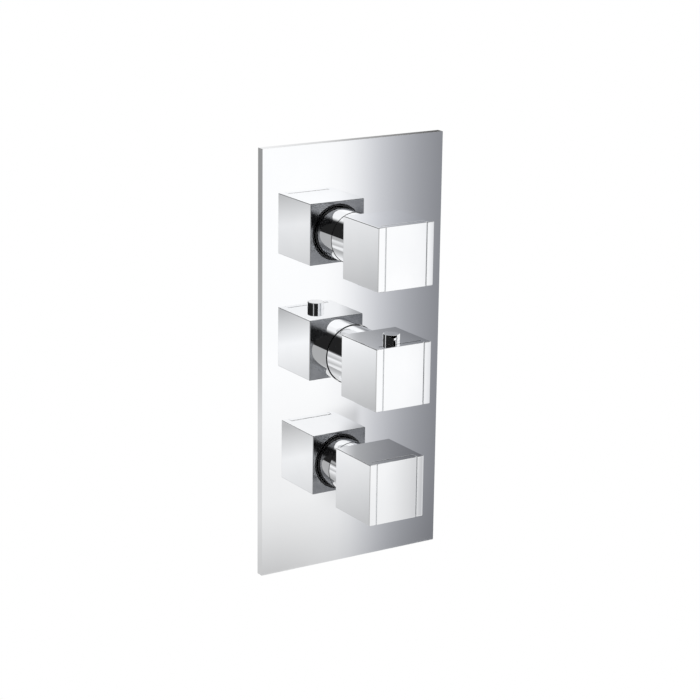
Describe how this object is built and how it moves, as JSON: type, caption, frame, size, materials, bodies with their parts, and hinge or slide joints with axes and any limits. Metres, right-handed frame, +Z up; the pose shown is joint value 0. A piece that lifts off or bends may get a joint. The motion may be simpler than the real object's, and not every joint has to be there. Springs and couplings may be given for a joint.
{
  "type": "thermostatic shower valve",
  "caption": "Concealed thermostatic shower valve with square handles on a tall chrome faceplate, a safety button on the temperature handle, and a brass body with side inlets and end outlets.",
  "frame": {"origin": "centre of the faceplate on the wall surface, on the temperature handle's axis", "axes": "+X to the right seen from the room, +Y into the wall, +Z up"},
  "size_m": [0.132, 0.1435, 0.276],
  "materials": {
    "chrome": "polished",
    "brass": "machined",
    "rubber": "matte",
    "black_plastic": "matte",
    "white_plastic": "matte",
    "ceramic": "lapped",
    "steel": "satin"
  },
  "bodies": {
    "valve": {"bracket_screws": "steel", "cartridge_nuts": "brass", "cartridge_orings": "rubber", "check_cages": "white_plastic", "cold_check_spring": "steel", "cold_inlet_fitting": "brass", "collar_grommets": "rubber", "faceplate": "chrome", "gallery_plugs": "brass", "hot_check_spring": "steel", "hot_inlet_fitting": "brass", "inlet_strainers": "steel", "lower_cartridge_housing": "brass", "lower_collar": "chrome", "lower_fixed_disc": "ceramic", "mounting_bracket": "steel", "plate_seal": "rubber", "return_spring": "steel", "seat_seals": "rubber", "stop_ring": "black_plastic", "temperature_collar_seal": "rubber", "thermostat_end_cap": "white_plastic", "thermostat_housing": "brass", "thermostat_nut": "brass", "thermostat_orings": "rubber", "upper_cartridge_housing": "brass", "upper_collar": "chrome", "upper_fixed_disc": "ceramic", "valve_body": "brass"},
    "temperature_handle": {"temperature_handle_shell": "chrome", "temperature_handle_cover": "chrome", "temperature_handle_screw": "steel", "temperature_handle_ring": "black_plastic", "temperature_collar": "chrome", "temperature_spindle_extension": "brass", "thermostat_spindle": "brass", "button_spring": "steel"},
    "safety_button": {"safety_button": "chrome"},
    "thermostat_shuttle": {"adjusting_nut": "brass", "overload_spring": "steel", "thrust_cap": "brass", "wax_element": "brass", "shuttle": "white_plastic"},
    "hot_check": {"hot_check_poppet": "white_plastic"},
    "cold_check": {"cold_check_poppet": "white_plastic"},
    "upper_handle": {"upper_handle_shell": "chrome", "upper_handle_cover": "chrome", "upper_handle_screw": "steel", "upper_handle_ring": "black_plastic", "upper_spindle_extension": "brass", "upper_spindle": "brass", "upper_moving_disc": "ceramic"},
    "lower_handle": {"lower_handle_shell": "chrome", "lower_handle_cover": "chrome", "lower_handle_screw": "steel", "lower_handle_ring": "black_plastic", "lower_spindle_extension": "brass", "lower_spindle": "brass", "lower_moving_disc": "ceramic"}
  },
  "joints": [
    {"name": "upper_flow_turn", "type": "hinge", "parent": "valve", "child": "upper_handle", "pos_m": [0, 0, 0.0757], "axis": [0, -1, 0], "range_deg": [0, 90]},
    {"name": "lower_flow_turn", "type": "hinge", "parent": "valve", "child": "lower_handle", "pos_m": [0, 0, -0.0757], "axis": [0, -1, 0], "range_deg": [0, 90]},
    {"name": "temperature_turn", "type": "hinge", "parent": "valve", "child": "temperature_handle", "pos_m": [0, 0, 0], "axis": [0, -1, 0], "range_deg": [-150, 60]},
    {"name": "button_press", "type": "slide", "parent": "temperature_handle", "child": "safety_button", "axis": [0, 0, -1], "range_m": [0, 0.003], "stiffness_N_per_m": 400, "springref_m": -0.003, "deforming": ["button_spring"]},
    {"name": "thermostat_slide", "type": "slide", "parent": "valve", "child": "thermostat_shuttle", "axis": [0, 1, 0], "range_m": [-0.00085, 0.00035], "deforming": ["return_spring"]},
    {"name": "hot_check_slide", "type": "slide", "parent": "valve", "child": "hot_check", "axis": [1, 0, 0], "range_m": [0, 0.0022], "stiffness_N_per_m": 60, "springref_m": -0.002, "deforming": ["hot_check_spring"]},
    {"name": "cold_check_slide", "type": "slide", "parent": "valve", "child": "cold_check", "axis": [-1, 0, 0], "range_m": [0, 0.0022], "stiffness_N_per_m": 60, "springref_m": -0.002, "deforming": ["cold_check_spring"]}
  ],
  "couplings": [
    {"joint": "thermostat_slide", "follows": "temperature_turn", "m_per_rad": 0.00031831}
  ]
}
